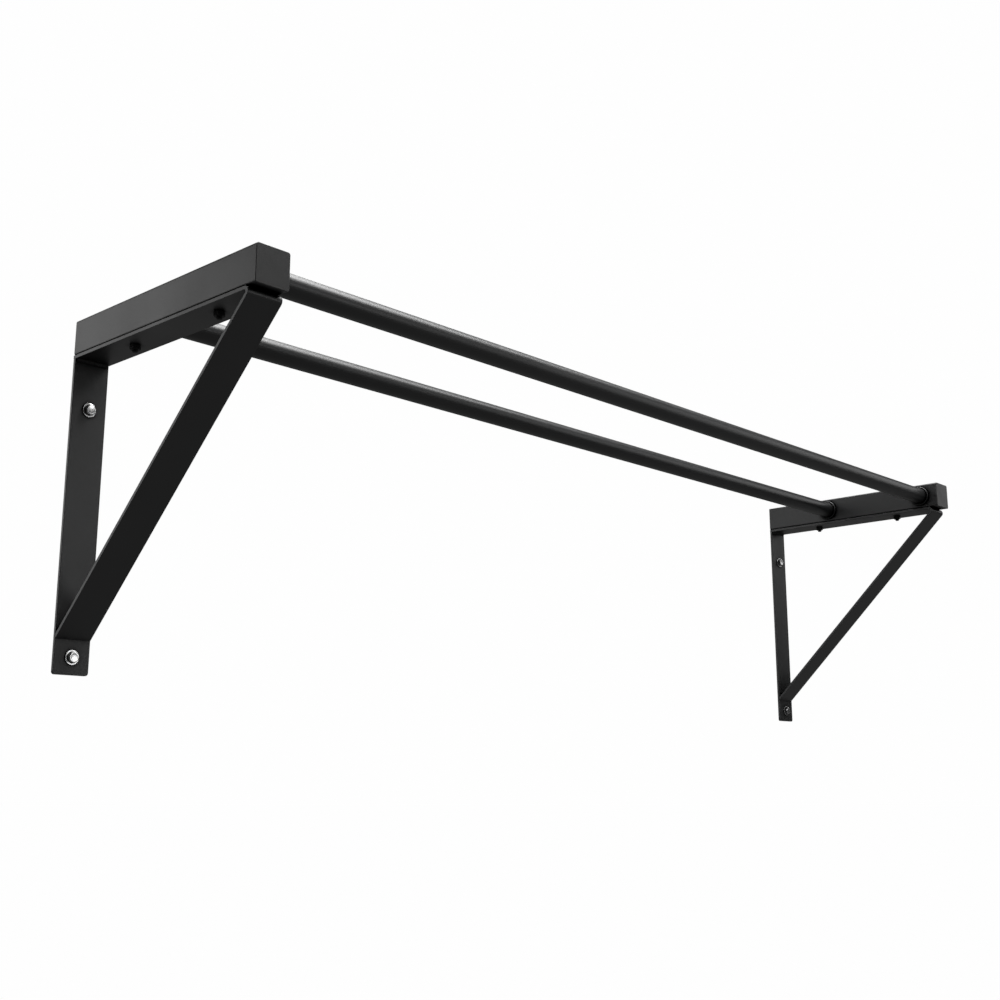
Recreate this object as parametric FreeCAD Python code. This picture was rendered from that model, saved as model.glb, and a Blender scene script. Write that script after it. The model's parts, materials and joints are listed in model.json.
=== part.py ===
"""Wall-mounted double pull-up bar: two triangular steel brackets carrying two round bars.

Millimetres. X runs along the bars, +Y points into the wall, +Z is up. The wall plane is Y = 0
and the origin is the centre of the four wall fixings.
"""
import math
import os

import FreeCAD
import Part
from FreeCAD import Vector

# ---- driving dimensions -------------------------------------------------------------------
ARMS_WIDTH = 1810.0           # outer face to outer face of the two arms
ARM_SECTION = 50.0            # square box tube
ARM_WALL = 3.0
ARM_CORNER_R = 3.5
ARM_LENGTH = 407.0            # wall plane to the outside of the front cap
FRONT_CAP_T = 2.0

STRIP_WIDTH = 51.0            # flat strip of the legs and braces, a shade wider than the arm
STRIP_T = 5.0
STRIP_EDGE_R = 0.6
LEG_CORNER_R = 4.0
LEG_DROP = 432.5              # underside of the box tube to the bottom of the leg
BRACE_FOOT_DROP = 386.5       # underside of the box tube to the brace's outer face at the leg
BRACE_REACH = 405.0           # wall plane to the sharp corner of the brace's outer faces
BEND_OUTER_R = 7.5

WALL_BOLT_SPACING = 336.0
WALL_BOLT_EDGE = 23.0         # lower wall bolt to the bottom of the leg
WALL_HOLE_D = 9.0

BAR_D = 32.0
BAR_WALL = 3.0
FRONT_BAR_REACH = 369.0       # wall plane to the bar's axis
REAR_BAR_REACH = 151.0
BAR_HOLE_D = 32.6             # hole in the inner wall of the box tube
BAR_END_GAP = 1.0             # bar end to the far wall inside the box tube
COLLAR_D = 39.0
COLLAR_T = 5.0
COLLAR_CHAMFER = 1.0

REAR_ARM_BOLT_REACH = 113.0
FRONT_ARM_BOLT_REACH = 301.5

# ---- fasteners ----------------------------------------------------------------------------
THREAD_GAP = 0.1              # radial play drawn between a thread and its nut
HOLE_PLAY = 1.0               # diametral play of a clearance hole
NECK_PLAY = 0.4               # square neck in its square hole
HEX_FACE_SHARE = 0.97         # flat end face of a hexagon head, as a share of its flats
HEX_CHAMFER_ANGLE = 30.0

M8_D = 8.0
M8_BOLT_LENGTH = 65.0
M8_HEAD_D = 20.0
M8_HEAD_H = 4.6
M8_HEAD_RIM_H = 0.6           # straight rim below the dome
M8_NECK = 8.0                 # square neck under the domed head
M8_HEX_AF = 13.0
M8_NUT_H = 6.5
TIP_CHAMFER = 1.0

HEX_HEAD_H = 5.3
WALL_HEAD_TURN = 12.0         # degrees, as tightened
WALL_SHANK_D = 7.2            # plain shank through washer and leg, at the pitch diameter
WALL_BOLT_LENGTH = 16.0
WASHER_D = 20.0
WASHER_T = 1.6
WASHER_BORE = 8.4
WASHER_EDGE_R = 0.5

SLEEVE_D = 14.0               # crush sleeve round each arm bolt, inside the box tube
INSERT_BARREL_D = 11.0        # threaded insert for each bar's locking screw
INSERT_FLANGE_D = 15.0
INSERT_FLANGE_T = 1.0
INSERT_BULGE_D = 13.0
INSERT_BULGE_H = 2.0
INSERT_DEPTH = 7.5
SET_SCREW_SOCKET_AF = 4.0
SET_SCREW_SOCKET_DEPTH = 4.5
SET_SCREW_RECESS = 0.6        # screw top below the insert's flange

# ---- plastic caps and welds ---------------------------------------------------------------
CAP_SPIGOT_GAP = 0.2
CAP_SPIGOT_WALL = 2.0
CAP_SPIGOT_DEPTH = 14.0
CAP_EDGE_R = 0.8
CAP_SPIGOT_R = 1.0            # outer corners of a spigot or plug
CAP_HOLLOW_R = 0.8            # corners of the hollow inside it
TUBE_BORE_R = 1.0
REAR_PLUG_FACE_T = 2.5
REAR_PLUG_DEPTH = 12.0
REAR_PLUG_RECESS = 0.5
WELD_LEG = 4.0
FOOT_WELD_LEG = 5.0
WELD_END_GAP = 2.0
WELD_CROWN = 1.18             # bead's middle, as a share of the depth of a flat-faced one

OVERCUT = 1.0                 # how far a cutting tool runs past a face
NEAR = 0.1                    # tolerance when edges are picked by their place

# ---- places worked out from them ----------------------------------------------------------
HALF_WIDTH = ARMS_WIDTH / 2.0
ARM_X = HALF_WIDTH - ARM_SECTION / 2.0
LOWER_BOLT_Z = -WALL_BOLT_SPACING / 2.0
UPPER_BOLT_Z = WALL_BOLT_SPACING / 2.0
LEG_BOTTOM_Z = LOWER_BOLT_Z - WALL_BOLT_EDGE
SHELF_Z = LEG_BOTTOM_Z + LEG_DROP            # underside of the box tube
ARM_TOP_Z = SHELF_Z + ARM_SECTION
BAR_Z = SHELF_Z + ARM_SECTION / 2.0
STRIP_UNDER_Z = SHELF_Z - STRIP_T
INNER_FACE_X = HALF_WIDTH - ARM_SECTION
BAR_REACHES = {"front": FRONT_BAR_REACH, "rear": REAR_BAR_REACH}
ARM_BOLT_REACHES = (REAR_ARM_BOLT_REACH, FRONT_ARM_BOLT_REACH)
SIDES = {"left": -1.0, "right": 1.0}

X_AXIS = Vector(1, 0, 0)
Y_AXIS = Vector(0, 1, 0)
Z_AXIS = Vector(0, 0, 1)


def rod(diameter, length, start, axis):
    """A plain cylinder."""
    return Part.makeCylinder(diameter / 2.0, length, start, axis)


def hex_prism(across_flats, height, start, axis, turn=0.0):
    """A hexagonal prism from start along axis, turned about it by turn degrees."""
    radius = across_flats / math.sqrt(3.0)
    points = []
    for corner in range(7):
        angle = math.radians(60.0 * corner + turn)
        points.append(Vector(radius * math.cos(angle), radius * math.sin(angle), 0))
    prism = Part.Face(Part.makePolygon(points)).extrude(Vector(0, 0, height))
    prism.Placement = FreeCAD.Placement(start, FreeCAD.Rotation(Z_AXIS, axis))
    return prism


def chamfered_hex(across_flats, height, start, axis, turn=0.0, both_ends=False):
    """A bolt head or nut: a hexagon whose corners are turned down by a shallow cone."""
    body = hex_prism(across_flats, height, start, axis, turn)
    corner_r = across_flats / math.sqrt(3.0)
    flat_r = across_flats / 2.0 * HEX_FACE_SHARE
    drop = (corner_r - flat_r) * math.tan(math.radians(HEX_CHAMFER_ANGLE))
    profile = [Vector(0, 0, 0), Vector(flat_r if both_ends else corner_r, 0, 0)]
    if both_ends:
        profile.append(Vector(corner_r, 0, drop))
    profile.append(Vector(corner_r, 0, height - drop))
    profile.append(Vector(flat_r, 0, height))
    profile.append(Vector(0, 0, height))
    profile.append(profile[0])
    turned = Part.Face(Part.makePolygon(profile)).revolve(Vector(0, 0, 0), Z_AXIS, 360)
    turned.Placement = FreeCAD.Placement(start, FreeCAD.Rotation(Z_AXIS, axis))
    return body.common(turned)


def rounded_square_prism(side, corner_r, length, centre, axis_start_y):
    """A square bar along +Y with rounded corners, centred on (centre.x, centre.z)."""
    half = side / 2.0
    start = Vector(centre.x - half, axis_start_y, centre.z - half)
    block = Part.makeBox(side, length, side, start)
    along = [edge for edge in block.Edges if abs(edge.tangentAt(0).y) > 0.5]
    return block.makeFillet(corner_r, along)


def at_arm_centre(sign):
    """The point on an arm's centre line at the wall plane."""
    return Vector(sign * ARM_X, 0, BAR_Z)


# ---- bracket weldment ---------------------------------------------------------------------
def wall_leg(sign):
    """Upright strip that lies on the wall, with two fixing holes and rounded lower corners."""
    height = STRIP_UNDER_Z - LEG_BOTTOM_Z
    left_edge = sign * ARM_X - STRIP_WIDTH / 2.0
    leg = Part.makeBox(STRIP_WIDTH, STRIP_T, height, Vector(left_edge, -STRIP_T, LEG_BOTTOM_Z))
    lower_corners = []
    for edge in leg.Edges:
        if abs(edge.tangentAt(0).y) > 0.5 and edge.CenterOfMass.z < LEG_BOTTOM_Z + NEAR:
            lower_corners.append(edge)
    leg = leg.makeFillet(LEG_CORNER_R, lower_corners)
    leg = leg.makeFillet(STRIP_EDGE_R, long_edges(leg))
    for z in (UPPER_BOLT_Z, LOWER_BOLT_Z):
        hole = rod(WALL_HOLE_D, 3.0 * STRIP_T, Vector(sign * ARM_X, -2.0 * STRIP_T, z), Y_AXIS)
        leg = leg.cut(hole)
    return leg


def long_edges(leg):
    """The front and back outline of a leg, without its top edges and thickness edges."""
    edges = []
    for edge in leg.Edges:
        box = edge.BoundBox
        flat_in_y = box.YLength < NEAR
        at_top = box.ZMin > STRIP_UNDER_Z - NEAR
        if flat_in_y and not at_top:
            edges.append(edge)
    return edges


def brace_outline():
    """The bent strip seen from the side, in the YZ plane: shelf, front bend, diagonal."""
    apex = Vector(0, -BRACE_REACH, SHELF_Z)
    foot = Vector(0, -STRIP_T, SHELF_Z - BRACE_FOOT_DROP)
    diagonal = (foot - apex).normalize()
    bend_angle = math.acos(diagonal.dot(Y_AXIS))
    tangent_length = BEND_OUTER_R / math.tan(bend_angle / 2.0)
    top_tangent = apex + Y_AXIS * tangent_length
    low_tangent = apex + diagonal * tangent_length
    centre = top_tangent - Z_AXIS * BEND_OUTER_R
    outward = (apex - centre).normalize()
    inner_r = BEND_OUTER_R - STRIP_T
    inward = Vector(0, -diagonal.z, diagonal.y)
    inner_low = low_tangent + inward * STRIP_T
    foot_rise = STRIP_T / math.sin(math.pi / 2.0 - bend_angle)
    inner_foot = foot + Z_AXIS * foot_rise
    inner_top = top_tangent - Z_AXIS * STRIP_T
    rear_top = Vector(0, 0, SHELF_Z)
    rear_low = Vector(0, 0, STRIP_UNDER_Z)
    outer_arc = Part.Arc(top_tangent, centre + outward * BEND_OUTER_R, low_tangent)
    inner_arc = Part.Arc(inner_low, centre + outward * inner_r, inner_top)
    edges = [
        Part.LineSegment(rear_top, top_tangent).toShape(),
        outer_arc.toShape(),
        Part.LineSegment(low_tangent, foot).toShape(),
        Part.LineSegment(foot, inner_foot).toShape(),
        Part.LineSegment(inner_foot, inner_low).toShape(),
        inner_arc.toShape(),
        Part.LineSegment(inner_top, rear_low).toShape(),
        Part.LineSegment(rear_low, rear_top).toShape(),
    ]
    return Part.Wire(edges)


def brace_strip(sign):
    """One strip bent into the shelf under the arm and the diagonal down to the leg."""
    strip = Part.Face(brace_outline()).extrude(Vector(STRIP_WIDTH, 0, 0))
    strip.translate(Vector(sign * ARM_X - STRIP_WIDTH / 2.0, 0, 0))
    side_edges = []
    for edge in strip.Edges:
        box = edge.BoundBox
        in_side_face = box.XLength < NEAR
        at_wall = box.YMin > -STRIP_T - NEAR
        if in_side_face and not at_wall:
            side_edges.append(edge)
    strip = strip.makeFillet(STRIP_EDGE_R, side_edges)
    for reach in ARM_BOLT_REACHES:
        start = Vector(sign * ARM_X, -reach, STRIP_UNDER_Z - OVERCUT)
        strip = strip.cut(rod(M8_D + HOLE_PLAY, STRIP_T + 2.0 * OVERCUT, start, Z_AXIS))
    return strip


def fillet_bead(sign, corner, first, second):
    """A convex weld bead in the corner between two plates, with rounded ends."""
    middle = (first + second) * 0.5
    bulge = corner + (middle - corner) * WELD_CROWN
    length = STRIP_WIDTH - 2.0 * WELD_END_GAP
    outline = Part.Wire([
        Part.LineSegment(corner, first).toShape(),
        Part.Arc(first, bulge, second).toShape(),
        Part.LineSegment(second, corner).toShape(),
    ])
    bead = Part.Face(outline).extrude(Vector(length, 0, 0))
    bead.translate(Vector(sign * ARM_X - length / 2.0, 0, 0))
    return bead


def corner_weld(sign):
    """Bead under the shelf where it meets the top of the leg."""
    corner = Vector(0, -STRIP_T, STRIP_UNDER_Z)
    return fillet_bead(sign, corner, corner - Y_AXIS * WELD_LEG, corner - Z_AXIS * WELD_LEG)


def foot_weld(sign):
    """Bead in the sharp corner where the diagonal lands on the leg."""
    rise = BRACE_FOOT_DROP
    run = BRACE_REACH - STRIP_T
    slope = math.hypot(rise, run)
    foot_rise = STRIP_T * slope / run
    corner = Vector(0, -STRIP_T, SHELF_Z - BRACE_FOOT_DROP + foot_rise)
    up_brace = Vector(0, -run / slope, rise / slope)
    return fillet_bead(sign, corner, corner + Z_AXIS * FOOT_WELD_LEG, corner + up_brace * FOOT_WELD_LEG)


# ---- arm ----------------------------------------------------------------------------------
def arm_tube(sign):
    """Square box tube with bar holes in its inner wall and bolt holes top and bottom."""
    centre = at_arm_centre(sign)
    front = -ARM_LENGTH + FRONT_CAP_T
    length = -front
    outer = rounded_square_prism(ARM_SECTION, ARM_CORNER_R, length, centre, front)
    bore = ARM_SECTION - 2.0 * ARM_WALL
    inner = rounded_square_prism(bore, TUBE_BORE_R, length + 2.0 * OVERCUT, centre, front - OVERCUT)
    through_wall = ARM_WALL + 2.0 * OVERCUT
    inside_top = ARM_TOP_Z - ARM_WALL - OVERCUT
    tube = outer.cut(inner)
    for reach in BAR_REACHES.values():
        start = Vector(sign * (INNER_FACE_X - OVERCUT), -reach, BAR_Z)
        tube = tube.cut(rod(BAR_HOLE_D, through_wall, start, X_AXIS * sign))
        insert_hole = Vector(sign * ARM_X, -reach, inside_top)
        tube = tube.cut(rod(INSERT_BARREL_D, through_wall, insert_hole, Z_AXIS))
    for reach in ARM_BOLT_REACHES:
        below = Vector(sign * ARM_X, -reach, SHELF_Z - OVERCUT)
        tube = tube.cut(rod(M8_D + HOLE_PLAY, through_wall, below, Z_AXIS))
        neck_side = M8_NECK + NECK_PLAY
        corner = Vector(sign * ARM_X - neck_side / 2.0, -reach - neck_side / 2.0, inside_top)
        tube = tube.cut(Part.makeBox(neck_side, neck_side, through_wall, corner))
    return tube


def front_cap(sign):
    """Push-in plastic cap: a plate over the tube's end and a hollow spigot inside it."""
    centre = at_arm_centre(sign)
    front = -ARM_LENGTH
    plate = rounded_square_prism(ARM_SECTION, ARM_CORNER_R, FRONT_CAP_T, centre, front)
    rim = [edge for edge in plate.Edges if edge.BoundBox.YMax < front + NEAR]
    plate = plate.makeFillet(CAP_EDGE_R, rim)
    side = ARM_SECTION - 2.0 * ARM_WALL - 2.0 * CAP_SPIGOT_GAP
    start = front + FRONT_CAP_T
    spigot = rounded_square_prism(side, CAP_SPIGOT_R, CAP_SPIGOT_DEPTH, centre, start)
    inside = side - 2.0 * CAP_SPIGOT_WALL
    hollow = rounded_square_prism(inside, CAP_HOLLOW_R, CAP_SPIGOT_DEPTH + OVERCUT, centre, start)
    return plate.fuse(spigot.cut(hollow)).removeSplitter()


def rear_plug(sign):
    """Plastic plug set just inside the tube's wall end."""
    centre = at_arm_centre(sign)
    side = ARM_SECTION - 2.0 * ARM_WALL - 2.0 * CAP_SPIGOT_GAP
    start = -REAR_PLUG_RECESS - REAR_PLUG_DEPTH
    body = rounded_square_prism(side, CAP_SPIGOT_R, REAR_PLUG_DEPTH, centre, start)
    inside = side - 2.0 * CAP_SPIGOT_WALL
    pocket_depth = REAR_PLUG_DEPTH - REAR_PLUG_FACE_T
    pocket = rounded_square_prism(inside, CAP_HOLLOW_R, pocket_depth + OVERCUT, centre, start - OVERCUT)
    return body.cut(pocket)


# ---- arm fasteners ------------------------------------------------------------------------
def arm_bolt(sign, reach):
    """Domed-head bolt with a square neck, dropped through the arm and the shelf."""
    under_head = Vector(sign * ARM_X, -reach, ARM_TOP_Z)
    dome_rise = M8_HEAD_H - M8_HEAD_RIM_H
    head_r = M8_HEAD_D / 2.0
    dome_r = (head_r ** 2 + dome_rise ** 2) / (2.0 * dome_rise)
    ball = Part.makeSphere(dome_r, under_head + Z_AXIS * (M8_HEAD_H - dome_r))
    head = rod(M8_HEAD_D, M8_HEAD_H, under_head, Z_AXIS).common(ball)
    neck_corner = under_head - Vector(M8_NECK / 2.0, M8_NECK / 2.0, ARM_WALL)
    neck = Part.makeBox(M8_NECK, M8_NECK, ARM_WALL, neck_corner)
    shank = rod(M8_D, M8_BOLT_LENGTH, under_head - Z_AXIS * M8_BOLT_LENGTH, Z_AXIS)
    tip = [edge for edge in shank.Edges if edge.BoundBox.ZMax < under_head.z - M8_BOLT_LENGTH + NEAR]
    shank = shank.makeChamfer(TIP_CHAMFER, tip)
    return head.fuse([neck, shank]).removeSplitter()


def arm_sleeve(sign, reach):
    """Steel spacer tube that keeps the arm's walls apart when its bolt is tightened."""
    start = Vector(sign * ARM_X, -reach, SHELF_Z + ARM_WALL)
    length = ARM_SECTION - 2.0 * ARM_WALL
    bore = rod(M8_D + HOLE_PLAY, length, start, Z_AXIS)
    return rod(SLEEVE_D, length, start, Z_AXIS).cut(bore)


def arm_nut(sign, reach):
    """Hexagon nut under the shelf."""
    start = Vector(sign * ARM_X, -reach, STRIP_UNDER_Z - M8_NUT_H)
    body = chamfered_hex(M8_HEX_AF, M8_NUT_H, start, Z_AXIS, both_ends=True)
    return body.cut(rod(M8_D + 2.0 * THREAD_GAP, M8_NUT_H, start, Z_AXIS))


# ---- bars and what holds them -------------------------------------------------------------
def pull_up_bar(reach):
    """Round steel tube that runs through both inner arm walls."""
    end_x = HALF_WIDTH - ARM_WALL - BAR_END_GAP
    start = Vector(-end_x, -reach, BAR_Z)
    outer = rod(BAR_D, 2.0 * end_x, start, X_AXIS)
    return outer.cut(rod(BAR_D - 2.0 * BAR_WALL, 2.0 * end_x, start, X_AXIS))


def bar_collar(sign, reach):
    """Stop ring pressed on a bar, bearing on the arm's inner face."""
    start = Vector(sign * INNER_FACE_X, -reach, BAR_Z)
    inward = X_AXIS * -sign
    ring = rod(COLLAR_D, COLLAR_T, start, inward)
    bar_side = INNER_FACE_X - COLLAR_T
    rim = [edge for edge in ring.Edges if abs(abs(edge.CenterOfMass.x) - bar_side) < NEAR]
    ring = ring.makeChamfer(COLLAR_CHAMFER, rim)
    return ring.cut(rod(BAR_D, COLLAR_T, start, inward))


def set_screw_insert(sign, reach):
    """Flanged threaded insert in the top wall of the arm, over a bar's end."""
    top = Vector(sign * ARM_X, -reach, ARM_TOP_Z)
    flange = rod(INSERT_FLANGE_D, INSERT_FLANGE_T, top, Z_AXIS)
    barrel = rod(INSERT_BARREL_D, INSERT_DEPTH, top - Z_AXIS * INSERT_DEPTH, Z_AXIS)
    bulge_start = top - Z_AXIS * (ARM_WALL + INSERT_BULGE_H)
    bulge = rod(INSERT_BULGE_D, INSERT_BULGE_H, bulge_start, Z_AXIS)
    body = flange.fuse([barrel, bulge]).removeSplitter()
    bore_length = INSERT_DEPTH + INSERT_FLANGE_T
    return body.cut(rod(M8_D + 2.0 * THREAD_GAP, bore_length, top - Z_AXIS * INSERT_DEPTH, Z_AXIS))


def set_screw(sign, reach):
    """Socket set screw that presses on the bar and stops it turning."""
    top_z = ARM_TOP_Z + INSERT_FLANGE_T - SET_SCREW_RECESS
    bar_top_z = BAR_Z + BAR_D / 2.0
    start = Vector(sign * ARM_X, -reach, bar_top_z)
    screw = rod(M8_D, top_z - bar_top_z, start, Z_AXIS)
    socket_start = Vector(start.x, start.y, top_z - SET_SCREW_SOCKET_DEPTH)
    return screw.cut(hex_prism(SET_SCREW_SOCKET_AF, SET_SCREW_SOCKET_DEPTH, socket_start, Z_AXIS))


# ---- wall fasteners -----------------------------------------------------------------------
def wall_washer(sign, z):
    """Plain washer with a rounded outer edge, in front of the leg."""
    start = Vector(sign * ARM_X, -STRIP_T, z)
    disc = rod(WASHER_D, WASHER_T, start, -Y_AXIS)
    front_y = -STRIP_T - WASHER_T
    rim = [edge for edge in disc.Edges if abs(edge.CenterOfMass.y - front_y) < NEAR]
    disc = disc.makeFillet(WASHER_EDGE_R, rim)
    return disc.cut(rod(WASHER_BORE, WASHER_T, start, -Y_AXIS))


def wall_bolt(sign, z):
    """Hexagon bolt through washer and leg, whose thread stands out behind the wall plane."""
    under_head = Vector(sign * ARM_X, -STRIP_T - WASHER_T, z)
    at_wall = Vector(sign * ARM_X, 0, z)
    head = chamfered_hex(M8_HEX_AF, HEX_HEAD_H, under_head, -Y_AXIS, WALL_HEAD_TURN)
    shank_length = STRIP_T + WASHER_T
    shank = rod(WALL_SHANK_D, shank_length, under_head, Y_AXIS)
    thread_length = WALL_BOLT_LENGTH - shank_length
    thread = rod(M8_D, thread_length, at_wall, Y_AXIS)
    tip = [edge for edge in thread.Edges if edge.BoundBox.YMin > thread_length - NEAR]
    thread = thread.makeChamfer(TIP_CHAMFER, tip)
    return head.fuse([shank, thread]).removeSplitter()


def save(name, *solids):
    """Write one node: a single solid, or a group of separate identical ones."""
    shape = solids[0] if len(solids) == 1 else Part.makeCompound(list(solids))
    shape.exportStep("parts/" + name + ".step")


os.makedirs("parts", exist_ok=True)

for side, sign in SIDES.items():
    save(side + "_wall_leg", wall_leg(sign))
    save(side + "_brace_strip", brace_strip(sign))
    save(side + "_corner_weld", corner_weld(sign))
    save(side + "_brace_foot_weld", foot_weld(sign))
    save(side + "_arm_tube", arm_tube(sign))
    save(side + "_arm_front_cap", front_cap(sign))
    save(side + "_arm_rear_plug", rear_plug(sign))
    save(side + "_arm_bolts", *[arm_bolt(sign, reach) for reach in ARM_BOLT_REACHES])
    save(side + "_arm_sleeves", *[arm_sleeve(sign, reach) for reach in ARM_BOLT_REACHES])
    save(side + "_arm_nuts", *[arm_nut(sign, reach) for reach in ARM_BOLT_REACHES])
    for place, reach in BAR_REACHES.items():
        save(side + "_" + place + "_collar", bar_collar(sign, reach))
    reaches = BAR_REACHES.values()
    save(side + "_bar_inserts", *[set_screw_insert(sign, reach) for reach in reaches])
    save(side + "_bar_set_screws", *[set_screw(sign, reach) for reach in reaches])
    for place, z in (("upper", UPPER_BOLT_Z), ("lower", LOWER_BOLT_Z)):
        save(side + "_" + place + "_wall_washer", wall_washer(sign, z))
        save(side + "_" + place + "_wall_bolt", wall_bolt(sign, z))

for place, reach in BAR_REACHES.items():
    save(place + "_bar", pull_up_bar(reach))
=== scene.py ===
"""Looks of the wall-mounted double pull-up bar.

Powder-coated brackets and arms, satin bars, bright zinc wall bolts and black arm bolts, on a
pale studio floor. Metres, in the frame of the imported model: X along the bars, +Y into the wall.
"""
import json
import math

import bmesh
import bpy
from mathutils import Matrix, Vector


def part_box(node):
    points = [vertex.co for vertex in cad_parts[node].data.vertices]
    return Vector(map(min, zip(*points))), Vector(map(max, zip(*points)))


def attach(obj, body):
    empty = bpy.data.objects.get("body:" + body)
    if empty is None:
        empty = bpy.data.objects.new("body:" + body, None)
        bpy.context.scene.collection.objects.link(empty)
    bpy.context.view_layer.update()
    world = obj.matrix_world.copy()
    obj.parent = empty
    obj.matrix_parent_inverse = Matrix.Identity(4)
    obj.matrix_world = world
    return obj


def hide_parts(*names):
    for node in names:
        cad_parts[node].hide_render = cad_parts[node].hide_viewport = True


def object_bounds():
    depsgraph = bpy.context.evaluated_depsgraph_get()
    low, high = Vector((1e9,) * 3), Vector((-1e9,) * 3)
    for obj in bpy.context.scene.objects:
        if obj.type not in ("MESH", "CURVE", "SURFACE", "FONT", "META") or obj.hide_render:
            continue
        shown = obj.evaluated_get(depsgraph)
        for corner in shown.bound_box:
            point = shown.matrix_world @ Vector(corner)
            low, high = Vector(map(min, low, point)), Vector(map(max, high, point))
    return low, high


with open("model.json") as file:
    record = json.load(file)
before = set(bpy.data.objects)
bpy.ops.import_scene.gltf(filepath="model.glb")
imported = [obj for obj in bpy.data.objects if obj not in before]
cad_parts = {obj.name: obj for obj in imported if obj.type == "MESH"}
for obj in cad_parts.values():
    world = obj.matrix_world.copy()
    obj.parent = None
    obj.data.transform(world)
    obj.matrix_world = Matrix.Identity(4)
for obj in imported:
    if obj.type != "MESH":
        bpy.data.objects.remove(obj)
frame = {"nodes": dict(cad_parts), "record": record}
CAD_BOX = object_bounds()

MM = 0.001
SIDES = ("left", "right")
NODES = frame["nodes"]

# ---- fasteners and bends, as packed ---------------------------------------------------------
M8_D = 8 * MM
PITCH = 1.25 * MM
HEX_AF = 13 * MM
WALL_SHANK_D = 7.2 * MM       # plain shank through washer and leg
ARM_WALL = 3 * MM
ARM_THREAD_LENGTH = 22 * MM
NUT_BORE_D = 8.05 * MM
SOCKET_AF = 4 * MM
SOCKET_DEPTH = 4.5 * MM
BRACE_RUN, BRACE_RISE = 400 * MM, 386.5 * MM
WALL_BOLT_TURN = 12.0         # degrees, as tightened
NUT_TURN = 13.0
SET_SCREW_TURN = 10.0

# ---- shader building ------------------------------------------------------------------------


class Shader:
    """A node tree with short calls for the nodes used here."""

    def __init__(self, tree):
        self.tree = tree
        tree.nodes.clear()

    def node(self, kind, inputs=None, **settings):
        made = self.tree.nodes.new(kind)
        for key, value in settings.items():
            setattr(made, key, value)
        for key, value in (inputs or {}).items():
            self.feed(made.inputs[key], value)
        return made

    def feed(self, socket, value):
        if isinstance(value, bpy.types.NodeSocket):
            self.tree.links.new(value, socket)
        else:
            socket.default_value = value

    def math(self, operation, a, b=0.0, clamp=False):
        made = self.node("ShaderNodeMath", {0: a, 1: b}, operation=operation, use_clamp=clamp)
        return made.outputs[0]

    def remap(self, value, low, high, to_low, to_high):
        made = self.node("ShaderNodeMapRange", {
            "Value": value, "From Min": low, "From Max": high, "To Min": to_low, "To Max": to_high,
        })
        return made.outputs["Result"]

    def noise(self, vector, scale, detail=2.0, roughness=0.5):
        made = self.node("ShaderNodeTexNoise", {
            "Vector": vector, "Scale": scale, "Detail": detail, "Roughness": roughness,
        })
        return made.outputs["Fac"]

    def blend(self, factor, a, b):
        made = self.node("ShaderNodeMix", data_type="RGBA", blend_type="MIX")
        self.feed(made.inputs["Factor"], factor)
        self.feed(made.inputs[6], a)
        self.feed(made.inputs[7], b)
        return made.outputs[2]

    def place(self):
        return self.node("ShaderNodeTexCoord").outputs["Object"]

    def stretch(self, vector, scale):
        made = self.node("ShaderNodeMapping", {"Vector": vector, "Scale": scale})
        return made.outputs["Vector"]


def group(name, inputs, outputs):
    """An empty shader node group with named float inputs and outputs."""
    tree = bpy.data.node_groups.new(name, "ShaderNodeTree")
    for title, default in inputs.items():
        socket = tree.interface.new_socket(title, in_out="INPUT", socket_type="NodeSocketFloat")
        socket.default_value = default
    for title in outputs:
        tree.interface.new_socket(title, in_out="OUTPUT", socket_type="NodeSocketFloat")
    build = Shader(tree)
    return tree, build, build.node("NodeGroupInput").outputs, build.node("NodeGroupOutput").inputs


def make_coat_grain():
    """Sprayed coat: a slow orange-peel wave, a fine pebble on it, and a faint cloudy tone."""
    tree, build, given, put = group(
        "coat grain",
        {"Peel Scale": 420.0, "Pebble Scale": 1500.0, "Pebble Share": 0.35, "Cloud Scale": 9.0},
        ("Height", "Cloud"),
    )
    place = build.place()
    peel = build.noise(place, given["Peel Scale"], 1.5, 0.45)
    pebble = build.noise(place, given["Pebble Scale"], 1.0, 0.5)
    fine = build.math("MULTIPLY", pebble, given["Pebble Share"])
    build.feed(put["Height"], build.math("ADD", peel, fine))
    cloud = build.noise(place, given["Cloud Scale"], 4.0, 0.6)
    build.feed(put["Cloud"], build.remap(cloud, 0.3, 0.7, 0.0, 1.0))
    return tree


def make_edge_wear_and_highlight():
    """Mask of rounded edges, where the rounded normal parts from the true one, broken up by noise: it marks
    worn corners and painted edge highlights.
    """
    tree, build, given, put = group(
        "edge wear and painted highlight",
        {"Width": 0.0012, "Gain": 5.0, "Breakup Scale": 160.0, "Breakup": 0.6},
        ("Mask",),
    )
    rounded = build.node("ShaderNodeBevel", {"Radius": given["Width"]}, samples=4).outputs[0]
    true = build.node("ShaderNodeNewGeometry").outputs["Normal"]
    match = build.node("ShaderNodeVectorMath", {0: rounded, 1: true}, operation="DOT_PRODUCT")
    turn = build.math("SUBTRACT", 1.0, match.outputs["Value"])
    edge = build.math("MULTIPLY", turn, given["Gain"], clamp=True)
    speckle = build.noise(build.place(), given["Breakup Scale"], 5.0, 0.65)
    broken = build.remap(speckle, 0.42, 0.62, 0.0, 1.0)
    kept = build.math("MULTIPLY", broken, given["Breakup"])
    bare = build.math("SUBTRACT", 1.0, given["Breakup"])
    build.feed(put["Mask"], build.math("MULTIPLY", edge, build.math("ADD", kept, bare), clamp=True))
    return tree


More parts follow.
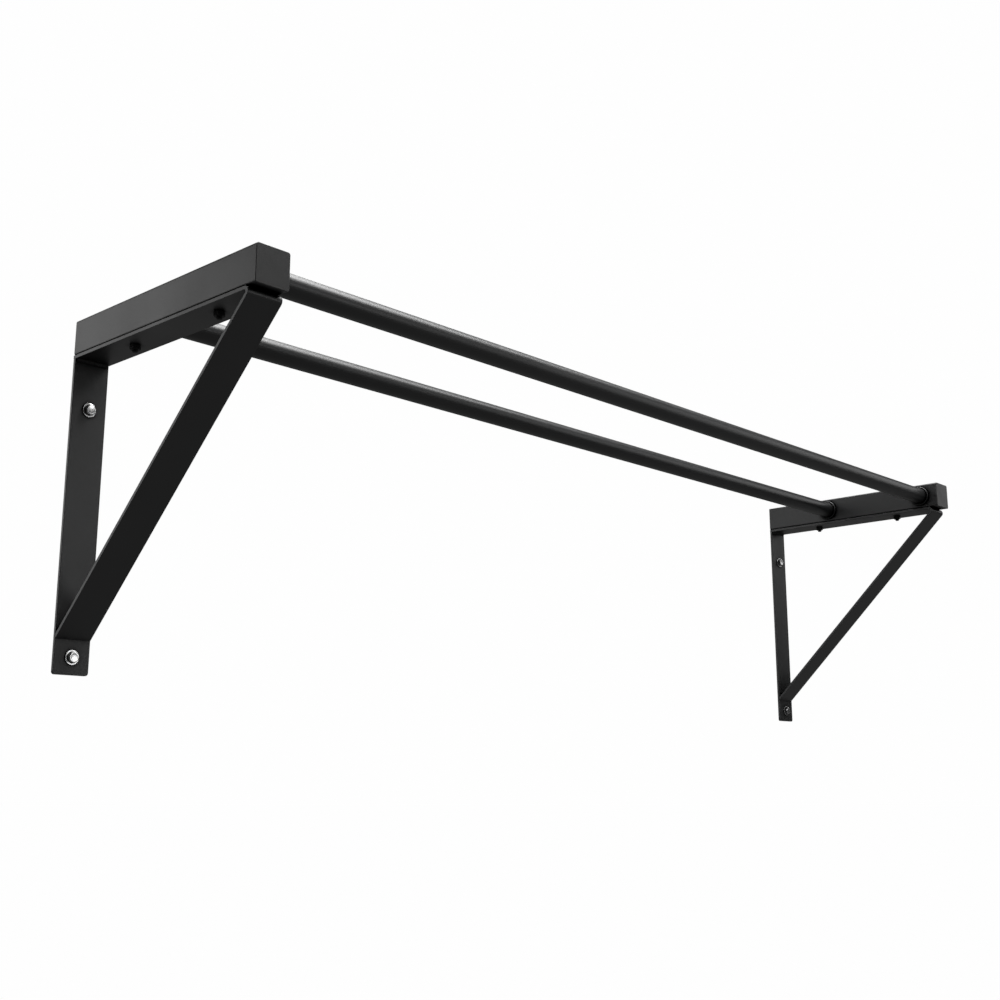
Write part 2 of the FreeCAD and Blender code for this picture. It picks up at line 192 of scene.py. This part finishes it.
def make_fine_scuffs():
    """Hair-fine scuffs drawn out along X, for what hands and straps slide along."""
    tree, build, given, put = group(
        "fine scuffs",
        {"Along": 14.0, "Across": 900.0, "Threshold": 0.62},
        ("Mask",),
    )
    place = build.place()
    combine = build.node("ShaderNodeCombineXYZ", {0: given["Along"], 1: given["Across"], 2: given["Across"]})
    drawn = build.node("ShaderNodeVectorMath", {0: place, 1: combine.outputs[0]}, operation="MULTIPLY")
    line = build.noise(drawn.outputs[0], 1.0, 3.0, 0.6)
    high = build.math("ADD", given["Threshold"], 0.1)
    made = build.node("ShaderNodeMapRange", {
        "Value": line, "From Min": given["Threshold"], "From Max": high,
    })
    patch = build.remap(build.noise(place, 6.0, 3.0, 0.5), 0.45, 0.62, 0.0, 1.0)
    build.feed(put["Mask"], build.math("MULTIPLY", made.outputs["Result"], patch, clamp=True))
    return tree


def make_settled_dust():
    """Thin dust on faces that look up."""
    tree, build, given, put = group("settled dust", {"Amount": 0.07, "Scale": 55.0}, ("Mask",))
    normal = build.node("ShaderNodeNewGeometry").outputs["Normal"]
    up = build.node("ShaderNodeSeparateXYZ", {0: normal}).outputs["Z"]
    facing = build.remap(up, 0.55, 1.0, 0.0, 1.0)
    speck = build.remap(build.noise(build.place(), given["Scale"], 6.0, 0.7), 0.35, 0.75, 0.15, 1.0)
    build.feed(put["Mask"], build.math("MULTIPLY", build.math("MULTIPLY", facing, speck), given["Amount"]))
    return tree


def make_painted_crevice_shade():
    """Painted shade: an ambient occlusion mask that darkens tight corners, creases and the areas under and
    between parts, in two widths.
    """
    tree, build, given, put = group(
        "painted crevice shade", {"Near": 0.009, "Far": 0.05, "Near Share": 0.97, "Far Share": 0.8}, ("Mask",)
    )
    masks = []
    for reach, share, low, high in (("Near", "Near Share", 0.68, 0.985), ("Far", "Far Share", 0.3, 0.85)):
        around = build.node("ShaderNodeAmbientOcclusion", {"Distance": given[reach]}, samples=8)
        closed = build.remap(around.outputs["AO"], low, high, 1.0, 0.0)
        masks.append(build.math("MULTIPLY", closed, given[share]))
    build.feed(put["Mask"], build.math("MAXIMUM", masks[0], masks[1], clamp=True))
    return tree


DUST_TONE = (0.30, 0.29, 0.27, 1.0)
COAT_IOR = 1.5

GRAIN = make_coat_grain()
EDGE_WEAR_AND_HIGHLIGHT = make_edge_wear_and_highlight()
SCUFFS = make_fine_scuffs()
DUST = make_settled_dust()
PAINTED_CREVICE_SHADE = make_painted_crevice_shade()


def use(build, tree, **values):
    """Places a group in a material, with its inputs by name (underscores stand for spaces)."""
    made = build.node("ShaderNodeGroup", node_tree=tree)
    for key, value in values.items():
        build.feed(made.inputs[key.replace("_", " ")], value)
    return made.outputs


def finish_material(name):
    """A new material with a Principled shader on its output: (material, builder, shader)."""
    material = bpy.data.materials.new(name)
    material.use_nodes = True
    build = Shader(material.node_tree)
    shader = build.node("ShaderNodeBsdfPrincipled")
    out = build.node("ShaderNodeOutputMaterial")
    build.feed(out.inputs["Surface"], shader.outputs[0])
    return material, build, shader


def bump(build, height, distance, strength=1.0):
    made = build.node("ShaderNodeBump", {"Height": height, "Distance": distance, "Strength": strength})
    return made.outputs["Normal"]


def grey(value, warmth=0.0):
    """A linear grey; warmth tips it towards red (+) or blue (-)."""
    return (value * (1.0 + warmth), value, value * (1.0 - warmth), 1.0)


# ---- finishes -------------------------------------------------------------------------------


def powder_coat(name, tone, roughness, peel_scale, peel_depth):
    """Fine matte black powder coat, a little paler and smoother along its edges: partly where the coat thins
    there, partly a painted highlight of edges catching the light.
    """
    material, build, shader = finish_material(name)
    grain = use(build, GRAIN, Peel_Scale=peel_scale, Pebble_Scale=peel_scale * 3.6)
    edge_wear_and_highlight = use(build, EDGE_WEAR_AND_HIGHLIGHT)["Mask"]
    dust = use(build, DUST)["Mask"]
    body = build.blend(grain["Cloud"], grey(tone * 0.88, -0.02), grey(tone * 1.12, -0.01))
    # Edges blend towards a paler grey: partly thin coat, partly a painted highlight.
    edged = build.blend(build.math("MULTIPLY", edge_wear_and_highlight, 0.35), body, grey(tone * 2.6, 0.01))
    dusted = build.blend(dust, edged, DUST_TONE)
    # Painted shade: in corners and creases the coat is blended to black and made metallic, which leaves it
    # near black.
    shade = use(build, PAINTED_CREVICE_SHADE)["Mask"]
    build.feed(shader.inputs["Base Color"], build.blend(shade, dusted, grey(0.0)))
    build.feed(shader.inputs["Metallic"], shade)
    wave = build.remap(grain["Cloud"], 0.0, 1.0, roughness - 0.03, roughness + 0.03)
    build.feed(shader.inputs["Roughness"], build.math("SUBTRACT", wave, build.math("MULTIPLY", edge_wear_and_highlight, 0.08)))
    build.feed(shader.inputs["Normal"], bump(build, grain["Height"], peel_depth))
    shader.inputs["IOR"].default_value = COAT_IOR
    return material


def satin_bar_coat(name, tone, roughness):
    """Smooth satin black coat on the bars, with hair-fine scuffs along them."""
    material, build, shader = finish_material(name)
    grain = use(build, GRAIN, Peel_Scale=110.0, Pebble_Scale=1500.0, Pebble_Share=0.06, Cloud_Scale=5.0)
    scuffs = use(build, SCUFFS)["Mask"]
    dust = use(build, DUST, Amount=0.03)["Mask"]
    body = build.blend(grain["Cloud"], grey(tone * 0.9, -0.03), grey(tone * 1.1, -0.02))
    scuffed = build.blend(build.math("MULTIPLY", scuffs, 0.25), body, grey(tone * 3.0))
    dusted = build.blend(dust, scuffed, DUST_TONE)
    # Painted shade: in tight corners, such as where the bars enter their collars, the coat is blended to
    # black and made metallic, which leaves it near black.
    shade = use(build, PAINTED_CREVICE_SHADE)["Mask"]
    build.feed(shader.inputs["Base Color"], build.blend(shade, dusted, grey(0.0)))
    build.feed(shader.inputs["Metallic"], shade)
    wave = build.remap(grain["Cloud"], 0.0, 1.0, roughness - 0.025, roughness + 0.025)
    build.feed(shader.inputs["Roughness"], build.math("ADD", wave, build.math("MULTIPLY", scuffs, 0.12)))
    height = build.math("SUBTRACT", grain["Height"], build.math("MULTIPLY", scuffs, 0.3))
    build.feed(shader.inputs["Normal"], bump(build, height, 0.002 * MM))
    shader.inputs["IOR"].default_value = COAT_IOR
    return material


def bright_zinc(name):
    """Bright zinc plate: silver with a faint blue-straw cast, slightly uneven gloss, and painted shade that
    darkens its recesses.
    """
    material, build, shader = finish_material(name)
    place = build.place()
    cast = build.remap(build.noise(place, 260.0, 3.0, 0.55), 0.35, 0.65, 0.0, 1.0)
    stain = build.remap(build.noise(place, 900.0, 4.0, 0.6), 0.52, 0.75, 0.0, 1.0)
    silver = build.blend(cast, (0.67, 0.685, 0.71, 1.0), (0.71, 0.70, 0.675, 1.0))
    stained = build.blend(build.math("MULTIPLY", stain, 0.2), silver, grey(0.35))
    # Painted shade: recesses, as where the head meets the washer, are blended to near black.
    shade = use(build, PAINTED_CREVICE_SHADE, Near=0.0035, Near_Share=0.75, Far_Share=0.0)["Mask"]
    build.feed(shader.inputs["Base Color"], build.blend(shade, stained, grey(0.01)))
    build.feed(shader.inputs["Roughness"], build.remap(cast, 0.0, 1.0, 0.20, 0.26))
    build.feed(shader.inputs["Normal"], bump(build, build.noise(place, 1400.0, 2.0, 0.5), 0.004 * MM))
    shader.inputs["Metallic"].default_value = 1.0
    return material


def black_oxide(name):
    """Blackened steel fasteners, oily and slightly worn to metal on their corners."""
    material, build, shader = finish_material(name)
    edge_wear_and_highlight = use(build, EDGE_WEAR_AND_HIGHLIGHT, Width=0.0005, Gain=6.0, Breakup_Scale=420.0, Breakup=0.75)["Mask"]
    tone = build.noise(build.place(), 500.0, 3.0, 0.6)
    body = build.blend(tone, grey(0.003), grey(0.007, -0.02))
    build.feed(shader.inputs["Base Color"], build.blend(build.math("MULTIPLY", edge_wear_and_highlight, 0.35), body, grey(0.04)))
    build.feed(shader.inputs["Roughness"], build.remap(tone, 0.3, 0.7, 0.5, 0.62))
    build.feed(shader.inputs["Normal"], bump(build, build.noise(build.place(), 2200.0), 0.01 * MM))
    shader.inputs["IOR"].default_value = 1.35
    return material


def moulded_plastic(name, tone):
    """Matte black moulded plastic with a fine spark-eroded grain, and a painted highlight along its rounded
    edges.
    """
    material, build, shader = finish_material(name)
    place = build.place()
    cells = build.node("ShaderNodeTexVoronoi", {"Vector": place, "Scale": 1700.0}, feature="SMOOTH_F1")
    cloud = build.noise(place, 40.0, 3.0, 0.5)
    edge_wear_and_highlight = use(build, EDGE_WEAR_AND_HIGHLIGHT, Width=0.0009, Gain=4.0)["Mask"]
    body = build.blend(cloud, grey(tone * 0.92), grey(tone * 1.08))
    # Painted highlight: the rounded edges are blended to a grey four times paler, standing in for light
    # along them.
    painted_edge_highlight = build.blend(build.math("MULTIPLY", edge_wear_and_highlight, 0.8), body, grey(tone * 4.0))
    build.feed(shader.inputs["Base Color"], painted_edge_highlight)
    build.feed(shader.inputs["Roughness"], build.remap(cloud, 0.3, 0.7, 0.42, 0.48))
    build.feed(shader.inputs["Normal"], bump(build, cells.outputs["Distance"], 0.03 * MM))
    shader.inputs["IOR"].default_value = COAT_IOR
    return material


def plated_sleeve(name):
    """Dull zinc-plated mild steel of the spacers inside the arms."""
    material, build, shader = finish_material(name)
    drawn = build.noise(build.stretch(build.place(), (900.0, 900.0, 60.0)), 1.0, 3.0, 0.6)
    build.feed(shader.inputs["Base Color"], build.blend(drawn, grey(0.36), grey(0.5, 0.01)))
    build.feed(shader.inputs["Roughness"], build.remap(drawn, 0.3, 0.7, 0.36, 0.5))
    shader.inputs["Metallic"].default_value = 1.0
    return material


FINISHES = {
    "bracket_coating": powder_coat("bracket powder coat", 0.024, 0.42, 420.0, 0.030 * MM),
    "arm_coating": powder_coat("arm powder coat", 0.024, 0.42, 420.0, 0.030 * MM),
    "weld_coating": powder_coat("weld powder coat", 0.024, 0.40, 300.0, 0.020 * MM),
    "bar_coating": satin_bar_coat("bar satin coat", 0.018, 0.38),
    "collar_coating": satin_bar_coat("collar satin coat", 0.014, 0.5),
    "zinc_plate": bright_zinc("bright zinc plate"),
    "bare_steel": plated_sleeve("plated spacer steel"),
    "black_fastener": black_oxide("black oxide"),
    "cap_plastic": moulded_plastic("moulded cap plastic", 0.028),
}


def coat_packed_nodes():
    """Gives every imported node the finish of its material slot."""
    for part in frame["record"]["subparts"]:
        node = NODES[part["node"]]
        node.data.materials.clear()
        node.data.materials.append(FINISHES[part["material_slot"]])


# ---- turned and threaded pieces ---------------------------------------------------------------

AROUND = 48                   # points round a turned piece
DOME_STEPS = 12


def circle(radius):
    """The same radius at every angle."""
    return lambda angle: radius


def polygon(across_flats, sides):
    """Radius of a regular polygon with a flat at angle zero."""
    half = math.pi / sides
    return lambda angle: across_flats / 2.0 / math.cos((angle + half) % (2.0 * half) - half)


def thread_rings(start, length, diameter, pitch, steps=8):
    """Rings (height, radius at an angle) of a helical thread."""
    depth = 0.61 * pitch
    count = max(2, round(length / pitch * steps))

    def radius_at(height):
        def radius(angle):
            turn = (height / pitch - angle / (2.0 * math.pi)) % 1.0
            flank = min(1.0, max(0.0, abs(turn - 0.5) * 2.6 - 0.15))
            return diameter / 2.0 - depth * flank
        return radius

    heights = [start + length * i / count for i in range(count + 1)]
    return [(height, radius_at(height)) for height in heights]


def skin(work, loops, closed_loop=False):
    """Faces between loops of equal count, capped unless the loops close on themselves."""
    count = len(loops[0])
    pairs = list(zip(loops, loops[1:]))
    if closed_loop:
        pairs.append((loops[-1], loops[0]))
    for low, high in pairs:
        for step in range(count):
            after = (step + 1) % count
            work.faces.new((low[step], low[after], high[after], high[step]))
    if not closed_loop:
        work.faces.new(list(reversed(loops[0])))
        work.faces.new(loops[-1])


def smooth_mesh(name, work, sharp_angle):
    """A finished mesh from the worked faces, smooth but for its sharp edges."""
    mesh = bpy.data.meshes.new(name)
    bmesh.ops.recalc_face_normals(work, faces=work.faces)
    work.to_mesh(mesh)
    work.free()
    mesh.shade_smooth()
    mesh.set_sharp_from_angle(angle=math.radians(sharp_angle))
    return mesh


def coated_piece(name, mesh, slot):
    """The mesh as an object on the fixed body, with the finish of its slot."""
    mesh.materials.append(FINISHES[slot])
    piece = bpy.data.objects.new(name, mesh)
    bpy.context.scene.collection.objects.link(piece)
    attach(piece, "root")
    return piece


def lathe(name, rings, closed_loop=False):
    """A mesh from rings (height, radius function) about +Z, capped unless the rings close a loop."""
    work = bmesh.new()
    loops = []
    for height, radius in rings:
        level = height if callable(height) else (lambda angle, fixed=height: fixed)
        loop = []
        for step in range(AROUND):
            angle = 2.0 * math.pi * step / AROUND
            reach = radius(angle)
            loop.append(work.verts.new((reach * math.cos(angle), reach * math.sin(angle), level(angle))))
        loops.append(loop)
    skin(work, loops, closed_loop)
    return smooth_mesh(name, work, sharp_angle=28)


def chamfer_drop(across_flats, flat_radius, sides=6):
    """How far a 30 degree cone has dropped where it meets a polygon's flats."""
    outline = polygon(across_flats, sides)
    return lambda angle: (outline(angle) - flat_radius) * math.tan(math.radians(30))


def hex_bolt_rings(head_af, head_h, shank_d, shank_l, thread_d, pitch, length):
    """Hexagon bolt, head up from zero and shank down from zero."""
    outline = polygon(head_af, 6)
    flat = head_af / 2.0 * 0.95
    drop = chamfer_drop(head_af, flat)
    thread_l = length - shank_l
    rings = [
        (head_h - 0.25 * MM, circle(flat * 0.55)),
        (head_h - 0.05 * MM, circle(flat * 0.82)),
        (head_h, circle(flat * 0.93)),
        (head_h - 0.04 * MM, circle(flat)),
        (lambda angle: head_h - 0.04 * MM - drop(angle), outline),
        (0.25 * MM, outline),
        (0.12 * MM, lambda angle: outline(angle) - 0.15 * MM),
        (0.1 * MM, circle(flat)),
        (0.0, circle(flat)),
        (0.0, circle(shank_d / 2.0)),
        (-shank_l, circle(shank_d / 2.0)),
    ]
    below = [(-shank_l - z, r) for z, r in thread_rings(0.05 * MM, thread_l - 1.1 * MM, thread_d, pitch)]
    rings.extend(below)
    rings.append((-length + 0.9 * MM, circle(thread_d / 2.0 - 0.75 * MM)))
    rings.append((-length + 0.1 * MM, circle(thread_d / 2.0 - 1.5 * MM)))
    rings.append((-length, circle(thread_d / 2.0 - 1.8 * MM)))
    return rings


def dome_bolt_rings(head_d, head_h, neck, neck_h, shank_d, pitch, length, thread_l):
    """Domed-head bolt with a square neck, head up from zero and shank down from zero."""
    rim = 0.6 * MM
    rise = head_h - rim
    dome_r = ((head_d / 2.0) ** 2 + rise ** 2) / (2.0 * rise)
    rings = []
    for step in range(1, DOME_STEPS + 1):
        reach = head_d / 2.0 * step / float(DOME_STEPS)
        rings.append((head_h - dome_r + math.sqrt(dome_r ** 2 - reach ** 2), circle(reach)))
    square = polygon(neck, 4)
    rings.append((0.12 * MM, circle(head_d / 2.0)))
    rings.append((0.0, circle(head_d / 2.0 - 0.12 * MM)))
    rings.append((0.0, square))
    rings.append((-neck_h, square))
    rings.append((-neck_h, circle(shank_d / 2.0 - 0.05 * MM)))
    plain_l = length - thread_l
    rings.append((-plain_l, circle(shank_d / 2.0 - 0.05 * MM)))
    rings.extend((-plain_l - z, r) for z, r in thread_rings(0.05 * MM, thread_l - 0.9 * MM, shank_d, pitch))
    rings.append((-length + 0.7 * MM, circle(shank_d / 2.0 - 0.65 * MM)))
    rings.append((-length + 0.08 * MM, circle(shank_d / 2.0 - 1.2 * MM)))
    rings.append((-length, circle(shank_d / 2.0 - 1.5 * MM)))
    return rings


def nut_rings(across_flats, height, bore_d):
    """Hexagon nut from zero up, chamfered on both faces, with a countersunk bore."""
    outline = polygon(across_flats, 6)
    flat = across_flats / 2.0 * 0.95
    drop = chamfer_drop(across_flats, flat)
    bore = bore_d / 2.0
    return [
        (0.5 * MM, circle(bore)),
        (0.0, circle(bore + 0.45 * MM)),
        (0.0, circle(flat)),
        (drop, outline),
        (lambda angle: height - drop(angle), outline),
        (height, circle(flat)),
        (height, circle(bore + 0.45 * MM)),
        (height - 0.5 * MM, circle(bore)),
    ]


def set_screw_rings(diameter, length, socket_af, socket_depth, pitch):
    """Socket set screw from its cup point at zero up to its open socket."""
    socket = polygon(socket_af, 6)
    outer = diameter / 2.0
    rings = [
        (0.35 * MM, circle(outer * 0.3)),
        (0.0, circle(outer * 0.55)),
        (0.6 * MM, circle(outer - 0.6 * MM)),
    ]
    rings.extend(thread_rings(0.8 * MM, length - 1.5 * MM, diameter, pitch))
    rings.append((length - 0.4 * MM, circle(outer - 0.6 * MM)))
    rings.append((length, circle(outer - 1.0 * MM)))
    rings.append((length, lambda angle: socket(angle) + 0.15 * MM))
    rings.append((length - 0.2 * MM, socket))
    rings.append((length - socket_depth, socket))
    return rings


def stand(name, mesh, origin, axis, slot, turn=0.0):
    """One turned piece as an object whose +Z runs along axis from origin."""
    mesh.transform(Matrix.Rotation(math.radians(turn), 4, "Z"))
    mesh.transform(Vector(axis).to_track_quat("Z", "Y").to_matrix().to_4x4())
    mesh.transform(Matrix.Translation(origin))
    return coated_piece(name, mesh, slot)


def wall_bolts():
    """Bright hexagon bolts with real threads behind the wall plane."""
    for side in SIDES:
        for row in ("upper", "lower"):
            node = f"{side}_{row}_wall_bolt"
            low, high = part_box(node)
            washer_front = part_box(f"{side}_{row}_wall_washer")[0].y
            centre = Vector(((low.x + high.x) / 2, washer_front, (low.z + high.z) / 2))
            rings = hex_bolt_rings(
                head_af=HEX_AF, head_h=washer_front - low.y, shank_d=WALL_SHANK_D, shank_l=-washer_front,
                thread_d=M8_D, pitch=PITCH, length=high.y - washer_front,
            )
            mesh = lathe(node, rings)
            piece = stand(f"{node}_threaded", mesh, centre, (0, -1, 0), "zinc_plate", WALL_BOLT_TURN)
            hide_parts(node)


def arm_fasteners():
    """Domed bolts through each arm, and the nuts under its shelf."""
    for side in SIDES:
        low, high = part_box(f"{side}_arm_bolts")
        nut_low, nut_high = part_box(f"{side}_arm_nuts")
        arm_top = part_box(f"{side}_arm_tube")[1].z
        head_d = high.x - low.x
        x = (low.x + high.x) / 2
        bolts, nuts = [], []
        for place, y in (("front", low.y + head_d / 2), ("rear", high.y - head_d / 2)):
            rings = dome_bolt_rings(
                head_d=head_d, head_h=high.z - arm_top, neck=M8_D, neck_h=ARM_WALL, shank_d=M8_D,
                pitch=PITCH, length=arm_top - low.z, thread_l=ARM_THREAD_LENGTH,
            )
            name = f"{side}_{place}_arm_bolt"
            bolts.append(stand(name, lathe(name, rings), (x, y, arm_top), (0, 0, 1), "black_fastener"))
            rings = nut_rings(HEX_AF, nut_high.z - nut_low.z, NUT_BORE_D)
            name = f"{side}_{place}_arm_nut"
            mesh = lathe(name, rings, closed_loop=True)
            nuts.append(stand(name, mesh, (x, y, nut_low.z), (0, 0, 1), "black_fastener", NUT_TURN))
        for bolt in bolts:
            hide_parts(f"{side}_arm_bolts")
        for nut in nuts:
            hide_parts(f"{side}_arm_nuts")


def bar_locking_screws():
    """Socket set screws that press on the bar ends from above."""
    for side in SIDES:
        low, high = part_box(f"{side}_bar_set_screws")
        diameter = high.x - low.x
        x = (low.x + high.x) / 2
        for place, y in (("front", low.y + diameter / 2), ("rear", high.y - diameter / 2)):
            rings = set_screw_rings(diameter, high.z - low.z, SOCKET_AF, SOCKET_DEPTH, PITCH)
            name = f"{side}_{place}_bar_set_screw"
            mesh = lathe(name, rings)
            piece = stand(name, mesh, (x, y, low.z), (0, 0, 1), "black_fastener", SET_SCREW_TURN)
            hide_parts(f"{side}_bar_set_screws")


# ---- welds ------------------------------------------------------------------------------------


BEAD_RIPPLE = 2.1 * MM
BEAD_ARC_POINTS = 9


def bead_loop(work, x, corner, along_a, along_b, size, phase):
    """One section of a bead: its root in the corner, then a crowned arc between the two plates."""
    out_y = along_a[0] + along_b[0]
    out_z = along_a[1] + along_b[1]
    norm = math.hypot(out_y, out_z)
    loop = [work.verts.new((x, corner[0], corner[1]))]
    for j in range(BEAD_ARC_POINTS):
        share = j / (BEAD_ARC_POINTS - 1)
        flat_a, flat_b = (1.0 - share) * size, share * size
        crown = 4.0 * share * (1.0 - share)
        lift = size * (0.10 + 0.05 * math.sin(2.0 * math.pi * phase)) * crown
        y = corner[0] + along_a[0] * flat_a + along_b[0] * flat_b
        z = corner[1] + along_a[1] * flat_a + along_b[1] * flat_b
        loop.append(work.verts.new((x, y + out_y / norm * lift, z + out_z / norm * lift)))
    return loop


def rippled_bead(node, low, high, corner, along_a, along_b):
    """Weld bead along X in the corner between two plates, laid as overlapping ripples."""
    leg = high.z - low.z
    length = high.x - low.x
    steps = round(length / (BEAD_RIPPLE / 7.0))
    work = bmesh.new()
    loops = []
    for i in range(steps + 1):
        x = low.x + length * i / steps
        from_end = min(x - low.x, high.x - x)
        swell = min(1.0, math.sqrt(max(0.0, from_end) / (1.6 * MM)))
        phase = (x / BEAD_RIPPLE) % 1.0
        scallop = 0.06 * (1.0 - phase) ** 0.6
        wander = 0.04 * math.sin(x * 410.0) + 0.03 * math.sin(x * 947.0 + 1.3)
        size = min(leg * (0.35 + 0.6 * swell) * (0.94 + scallop + wander), leg)
        loops.append(bead_loop(work, x, corner, along_a, along_b, size, phase))
    skin(work, loops)
    name = f"{node}_bead"
    piece = coated_piece(name, smooth_mesh(name, work, sharp_angle=50), "weld_coating")
    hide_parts(node)


def weld_beads():
    """Beads at the top of each leg and where each diagonal lands on it."""
    slope = math.hypot(BRACE_RUN, BRACE_RISE)
    up_brace = (-BRACE_RUN / slope, BRACE_RISE / slope)
    for side in SIDES:
        node = f"{side}_corner_weld"
        low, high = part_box(node)
        rippled_bead(node, low, high, (high.y, high.z), (-1.0, 0.0), (0.0, -1.0))
        node = f"{side}_brace_foot_weld"
        low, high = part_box(node)
        rippled_bead(node, low, high, (high.y, low.z), up_brace, (0.0, 1.0))


coat_packed_nodes()
wall_bolts()
arm_fasteners()
bar_locking_screws()
weld_beads()

# ---- studio -----------------------------------------------------------------------------------

FLOOR_BELOW_BARS = 2.25
FLOOR_RADIUS = 120.0
BACKDROP = 0.992
FILL = 0.18

CAMERA_PLACE = (-1.7867, -1.6236, -0.3319)
CAMERA_AZIMUTH = 46.87        # degrees from +Y towards +X
CAMERA_ELEVATION = 12.75      # degrees above level
CAMERA_LENS = 48.37           # mm, on a 36 mm wide frame
CAMERA_SHIFT = -0.0183

# name: direction from the object's middle, distance, side of the square, watts
SOFTBOXES = {
    "overhead": ((0.0, 0.0, 1.0), 3.5, 3.0, 238.0),
    "overhead right": ((0.43, -0.28, 0.86), 4.3, 1.8, 84.0),
    "front high": ((0.0, -0.7, 0.7), 4.0, 2.0, 16.2),
    "left rear": ((-0.7, 0.67, 0.20), 4.0, 2.0, 12.0),
    "left rear near": ((-0.8, 0.75, 0.25), 2.4, 1.2, 4.5),
    "right": ((0.89, -0.30, 0.33), 4.3, 1.6, 9.6),
    "right front": ((0.71, -0.67, 0.28), 2.6, 1.2, 3.0),
    "front low": ((0.30, -0.94, 0.12), 3.7, 1.0, 9.6),
    "front right": ((0.28, -0.92, 0.30), 3.7, 1.2, 1.5),
}


def pale_floor():
    """A wide pale floor well below the bars."""
    bar_z = (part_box("front_bar")[0].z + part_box("front_bar")[1].z) / 2
    middle = (0, 0, bar_z - FLOOR_BELOW_BARS)
    bpy.ops.mesh.primitive_circle_add(vertices=96, radius=FLOOR_RADIUS, fill_type="NGON", location=middle)
    floor = bpy.context.object
    floor.name = "pale_floor"
    material, build, shader = finish_material("pale studio floor")
    speck = build.noise(build.place(), 3.0, 5.0, 0.6)
    build.feed(shader.inputs["Emission Color"], build.blend(speck, grey(0.988), grey(0.994)))
    shader.inputs["Emission Strength"].default_value = 1.0
    shader.inputs["Base Color"].default_value = grey(0.005)
    shader.inputs["Specular IOR Level"].default_value = 0.0
    shader.inputs["Roughness"].default_value = 1.0
    floor.data.materials.append(material)
    floor.visible_diffuse = False
    floor.visible_glossy = False


def backdrop_and_fill():
    """White behind the object for the camera; otherwise a dim fill that comes up from below."""
    world = bpy.data.worlds.new("studio")
    world.use_nodes = True
    bpy.context.scene.world = world
    build = Shader(world.node_tree)
    towards = build.node("ShaderNodeTexCoord").outputs["Generated"]
    height = build.node("ShaderNodeSeparateXYZ", {0: towards}).outputs["Z"]
    strength = build.remap(height, -0.3, 0.15, FILL, 0.0)
    lit = build.node("ShaderNodeBackground", {"Color": grey(1.0), "Strength": strength})
    seen = build.node("ShaderNodeBackground", {"Color": grey(1.0), "Strength": BACKDROP})
    is_camera = build.node("ShaderNodeLightPath").outputs["Is Camera Ray"]
    mixed = build.node("ShaderNodeMixShader", {0: is_camera, 1: lit.outputs[0], 2: seen.outputs[0]})
    out = build.node("ShaderNodeOutputWorld")
    build.feed(out.inputs["Surface"], mixed.outputs[0])


def softboxes():
    """Square softboxes aimed at the middle of the object."""
    low, high = CAD_BOX
    centre = (low + high) / 2
    for name, (direction, distance, size, power) in SOFTBOXES.items():
        away = Vector(direction).normalized()
        lamp = bpy.data.lights.new(name + " softbox", "AREA")
        lamp.shape = "SQUARE"
        lamp.size = size
        lamp.energy = power
        holder = bpy.data.objects.new(name + " softbox", lamp)
        holder.location = centre + away * distance
        holder.rotation_euler = away.to_track_quat("Z", "Y").to_euler()
        holder.visible_camera = False
        bpy.context.scene.collection.objects.link(holder)


def set_camera():
    """The camera: low, in front and to the left, looking up along the bars."""
    lens = bpy.data.cameras.new("camera")
    lens.sensor_width = 36.0
    lens.lens = CAMERA_LENS
    lens.shift_y = CAMERA_SHIFT
    lens.clip_start, lens.clip_end = 0.05, 400.0
    camera = bpy.data.objects.new("camera", lens)
    camera.location = CAMERA_PLACE
    azimuth, elevation = math.radians(CAMERA_AZIMUTH), math.radians(CAMERA_ELEVATION)
    aim = Vector((
        math.sin(azimuth) * math.cos(elevation),
        math.cos(azimuth) * math.cos(elevation),
        math.sin(elevation),
    ))
    camera.rotation_euler = (-aim).to_track_quat("Z", "Y").to_euler()
    bpy.context.scene.collection.objects.link(camera)
    bpy.context.scene.camera = camera


pale_floor()
backdrop_and_fill()
softboxes()
set_camera()
bpy.context.scene.view_settings.view_transform = "Standard"
